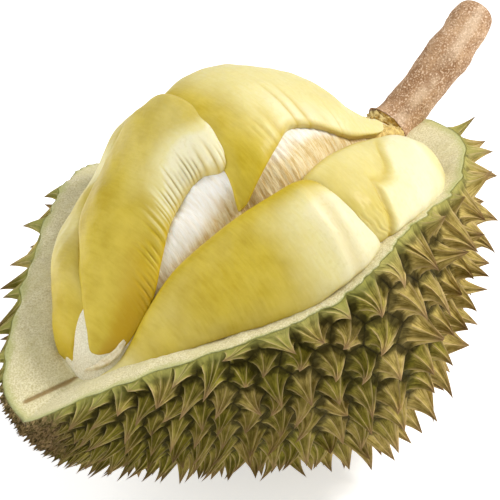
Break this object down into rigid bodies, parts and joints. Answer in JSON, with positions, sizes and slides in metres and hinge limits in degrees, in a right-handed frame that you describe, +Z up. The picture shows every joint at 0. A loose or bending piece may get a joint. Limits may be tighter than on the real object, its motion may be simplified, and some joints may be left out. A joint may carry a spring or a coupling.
{
  "type": "opened durian",
  "caption": "Thorny durian lying on its side, two sections of the rind pulled away to show cream flesh segments in white pith, with its stalk on.",
  "frame": {"origin": "on the surface it rests on, at the centre of the bounding box's underside", "axes": "+X along the fruit towards the stalk, -X the blossom end, -Y the front opening, +Z up"},
  "size_m": [0.298, 0.2442, 0.2014],
  "materials": {
    "husk": "matt khaki and olive thorns, granular cream where it is cut",
    "stalk": "matt mottled brown bark",
    "core": "matt white fibrous pith",
    "aril": "soft satin flesh, lemon cream to gold"
  },
  "bodies": {
    "root": {"husk": "husk", "stalk": "stalk", "core": "core", "aril_front_left": "aril", "aril_front_right": "aril", "aril_back_left": "aril", "aril_back_right": "aril", "aril_side": "aril"}
  },
  "joints": []
}
